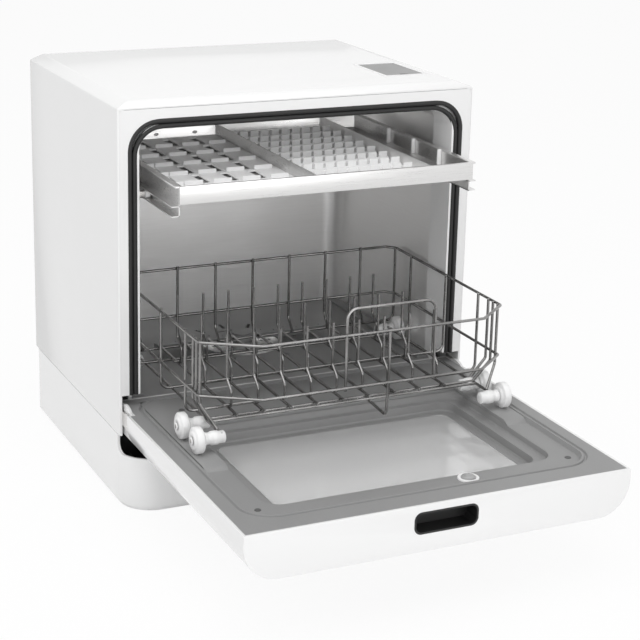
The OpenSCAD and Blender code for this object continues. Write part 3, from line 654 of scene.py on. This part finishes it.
def makeTrayCombs():
    # middle part: rows of broad teeth with gaps between them
    s, comb = traySettings, traySettings["comb"]
    front, back, shelf = s["front"], s["back"], s["shelf"]
    x0, x1 = s["dividers"][0] + s["dividerGap"], s["dividers"][1] - s["dividerGap"]
    tooth = (x1 - x0) / comb["teeth"]
    step = (back - front - s["margin"]) / comb["rows"]
    across = [x0]
    for c in range(1, comb["teeth"], comb["slotEvery"]):
        across += [x0 + c * tooth, x0 + c * tooth + comb["slotWidth"]]
    along = [front]
    for r in range(comb["rows"]):
        slot = front + s["margin"] + r * step
        along += [slot, slot + comb["slotLength"]]
    bm = bmesh.new()
    slottedShelf(bm, across + [x1], along + [back], shelf, s["thick"])
    (low, high), (near, far) = comb["tooth"], comb["toothSides"]
    for r in range(comb["rows"]):
        y = front + 6 + r * step
        block(bm, (x0, y, shelf - 0.2), (x1, y + s["ribPlate"], shelf + comb["strip"]))
        for c in range(comb["teeth"]):
            block(bm, (x0 + (c + near) * tooth, y, shelf + low),
                  (x0 + (c + far) * tooth, y + s["ribPlate"], shelf + high))
    softenAll(bm, s["plateEdge"])
    piece("tray_combs", bm, "whitePlastic", "tray", ("tray_comb_insert",), smooth=False)


def makeTrayPosts():
    # posts on the right wall and a low strip in front
    s, post, strip = traySettings, traySettings["post"], traySettings["strip"]
    right, divider, front = s["right"], s["dividers"][1], s["front"]
    bm = bmesh.new()
    for i in range(post["count"]):
        y = front + post["first"] + post["pitch"] * i
        block(bm, (right - post["reach"], y, post["low"]), (right + 0.4, y + post["thick"], post["top"]))
    near, far = strip["front"]
    block(bm, (divider + strip["from"], front + near, strip["low"]),
          (divider + strip["to"], front + far, strip["top"]))
    softenAll(bm, post["edge"])
    piece("tray_posts", bm, "whitePlastic", "tray", ("tray_partitions",), smooth=False)


def makeTrayChannels():
    # channels that run on the rollers
    s, run = traySettings, traySettings["channel"]
    front, rear = s["front"], run["rear"]
    bm = bmesh.new()
    for side in (-1, 1):
        inner, wall, out = side * run["wall"][0], side * run["wall"][1], side * run["out"]
        block(bm, (min(inner, wall), front, run["low"]), (max(inner, wall), rear, run["top"]))
        for z in (run["low"], run["high"] - run["sheet"]):
            block(bm, (min(inner, out), front, z), (max(inner, out), rear, z + run["sheet"]))
    softenAll(bm, run["edge"])
    piece("tray_channels", bm, "trayMetal", "tray", ("tray_runners",), smooth=False)


def makeTrayRollers():
    roller = traySettings["roller"]
    for side, word in ((-1, "left"), (1, "right")):
        for place in ("front", "rear"):
            name = f"roller_{word}_{place}"
            bm = bmesh.new()
            turned(bm, roller["profile"], (side * roller["x"], roller[place], roller["z"]), side=side)
            piece(name + "_turned", bm, "whitePlastic", name, (name,))


makeTrayRibs()
makeTrayCombs()
makeTrayPosts()
makeTrayChannels()
makeTrayRollers()

trimSettings = {
    "studs": (-140, -92, -44), "studPlace": (210.2, 365.6), "studRadius": 3.2, "studFlatness": (1, 0.5, 0.6),
    "studSegments": (20, 10), "tube": 9, "tubePath": [(150, 60, 415), (150, 180, 415), (150, 296, 415)],
}


def makeTrim():
    # studs on the rear wall of the tray, and the water tube under the tub's roof
    s = trimSettings
    y, z = s["studPlace"]
    around, up = s["studSegments"]
    studs = bmesh.new()
    for x in s["studs"]:
        ball = bmesh.ops.create_uvsphere(studs, u_segments=around, v_segments=up, radius=s["studRadius"] / 1000)
        bmesh.ops.scale(studs, verts=ball["verts"], vec=s["studFlatness"])
        bmesh.ops.translate(studs, verts=ball["verts"], vec=(x / 1000, y / 1000, z / 1000))
    piece("tray_rear_buttons", studs, "whitePlastic", "tray")
    wires("roof_tube", [(s["tubePath"], s["tube"])], "cabinet", "tube", bend=18, steps=8)


makeTrim()
print("liner, tray, wheels, seal, cap and trim made")

cameraSettings = {"spot": (-0.76215, -1.65751, 0.78270), "yaw": 0.443, "pitch": -0.273, "roll": 0.024,
                  "sensor": 36.0, "lens": 96.63, "shiftPixels": -70, "widthPixels": 640}


def makeCamera():
    s = cameraSettings
    yaw, pitch, roll = s["yaw"], s["pitch"], s["roll"]
    forward = Vector((math.sin(yaw) * math.cos(pitch), math.cos(yaw) * math.cos(pitch), math.sin(pitch)))
    right = Vector((math.cos(yaw), -math.sin(yaw), 0))
    up = right.cross(forward)
    rightTurned = right * math.cos(roll) + up * math.sin(roll)
    upTurned = up * math.cos(roll) - right * math.sin(roll)
    data = bpy.data.cameras.new("photo_camera")
    data.sensor_width, data.lens, data.shift_y = s["sensor"], s["lens"], s["shiftPixels"] / s["widthPixels"]
    camera = bpy.data.objects.new("photo_camera", data)
    scene.collection.objects.link(camera)
    turn = Matrix((rightTurned, upTurned, -forward)).transposed()
    camera.matrix_world = Matrix.Translation(s["spot"]) @ turn.to_4x4()
    scene.camera = camera


makeCamera()

studioSettings = {
    "world": 0.52, "floorSize": 12.0, "paper": (0.93, 0.95), "paperMottle": 0.5,
    "floorGlow": 0.92,                         # share of plain white that the camera sees on the floor
    "lamps": [  # name, place, aim, width, height, watts
        ("top_softbox", (-0.3, -0.3, 2.4), (0, 0.1, 0.2), 2.6, 2.6, 29),
        ("left_softbox", (-2.2, -1.2, 1.3), (0, 0.1, 0.25), 1.8, 1.8, 9),
        ("front_fill", (0.2, -2.8, 0.7), (0, 0.1, 0.28), 2.2, 1.2, 17),
    ]}


def seenDirectly(tree, *kinds):
    # 1 for the rays that show the backdrop itself: camera, and those of shiny and clear parts
    rays = tree.nodes.new("ShaderNodeLightPath")
    seen = rays.outputs[kinds[0]]
    for kind in kinds[1:]:
        either = tree.nodes.new("ShaderNodeMath")
        either.operation = "MAXIMUM"
        tree.links.new(seen, either.inputs[0])
        tree.links.new(rays.outputs[kind], either.inputs[1])
        seen = either.outputs[0]
    return seen


def makeWorld(kinds):
    world = bpy.data.worlds.new("studio_world")
    scene.world = world
    world.use_nodes = True
    tree = world.node_tree
    tree.nodes.clear()
    end = tree.nodes.new("ShaderNodeOutputWorld")
    mix = tree.nodes.new("ShaderNodeMixShader")
    for index, level in ((1, studioSettings["world"]), (2, 1.0)):
        shade = tree.nodes.new("ShaderNodeBackground")
        shade.inputs["Color"].default_value = grey(1.0)
        shade.inputs["Strength"].default_value = level
        tree.links.new(shade.outputs[0], mix.inputs[index])
    tree.links.new(seenDirectly(tree, *kinds), mix.inputs[0])
    tree.links.new(mix.outputs[0], end.inputs["Surface"])


def makeLamps():
    for name, place, aim, width, height, watts in studioSettings["lamps"]:
        data = bpy.data.lights.new(name, "AREA")
        data.shape, data.size, data.size_y, data.energy = "RECTANGLE", width, height, watts
        lamp = bpy.data.objects.new(name, data)
        scene.collection.objects.link(lamp)
        lamp.location = place
        lamp.rotation_euler = (Vector(aim) - Vector(place)).to_track_quat("-Z", "Y").to_euler()


def makeFloor(kinds):
    # white paper that takes the shadow and still reads as white
    s = studioSettings
    bm = bmesh.new()
    bmesh.ops.create_grid(bm, x_segments=1, y_segments=1, size=s["floorSize"])
    mesh = bpy.data.meshes.new("studio_floor")
    bm.to_mesh(mesh)
    bm.free()
    floor = bpy.data.objects.new("studio_floor", mesh)
    scene.collection.objects.link(floor)
    f = Finish("floor_paper")
    darkPaper, palePaper = s["paper"]
    tone = f.blend(f.noise(s["paperMottle"]), grey(darkPaper), grey(palePaper))
    paper = f.node("ShaderNodeBsdfDiffuse", values={"Color": tone})
    white = f.node("ShaderNodeEmission", values={"Color": grey(1.0), "Strength": 1.0})
    share = Flow(f, seenDirectly(f.tree, *kinds)) * s["floorGlow"]
    both = f.node("ShaderNodeMixShader", values={0: share, 1: paper, 2: white})
    f.tree.links.new(both.socket, f.end.inputs["Surface"])
    mesh.materials.append(f.material)


backdropRays = ("Is Camera Ray", "Is Glossy Ray", "Is Transmission Ray")
makeWorld(backdropRays)
makeLamps()
makeFloor(backdropRays)
scene.view_settings.view_transform = "Standard"
print("studio set")
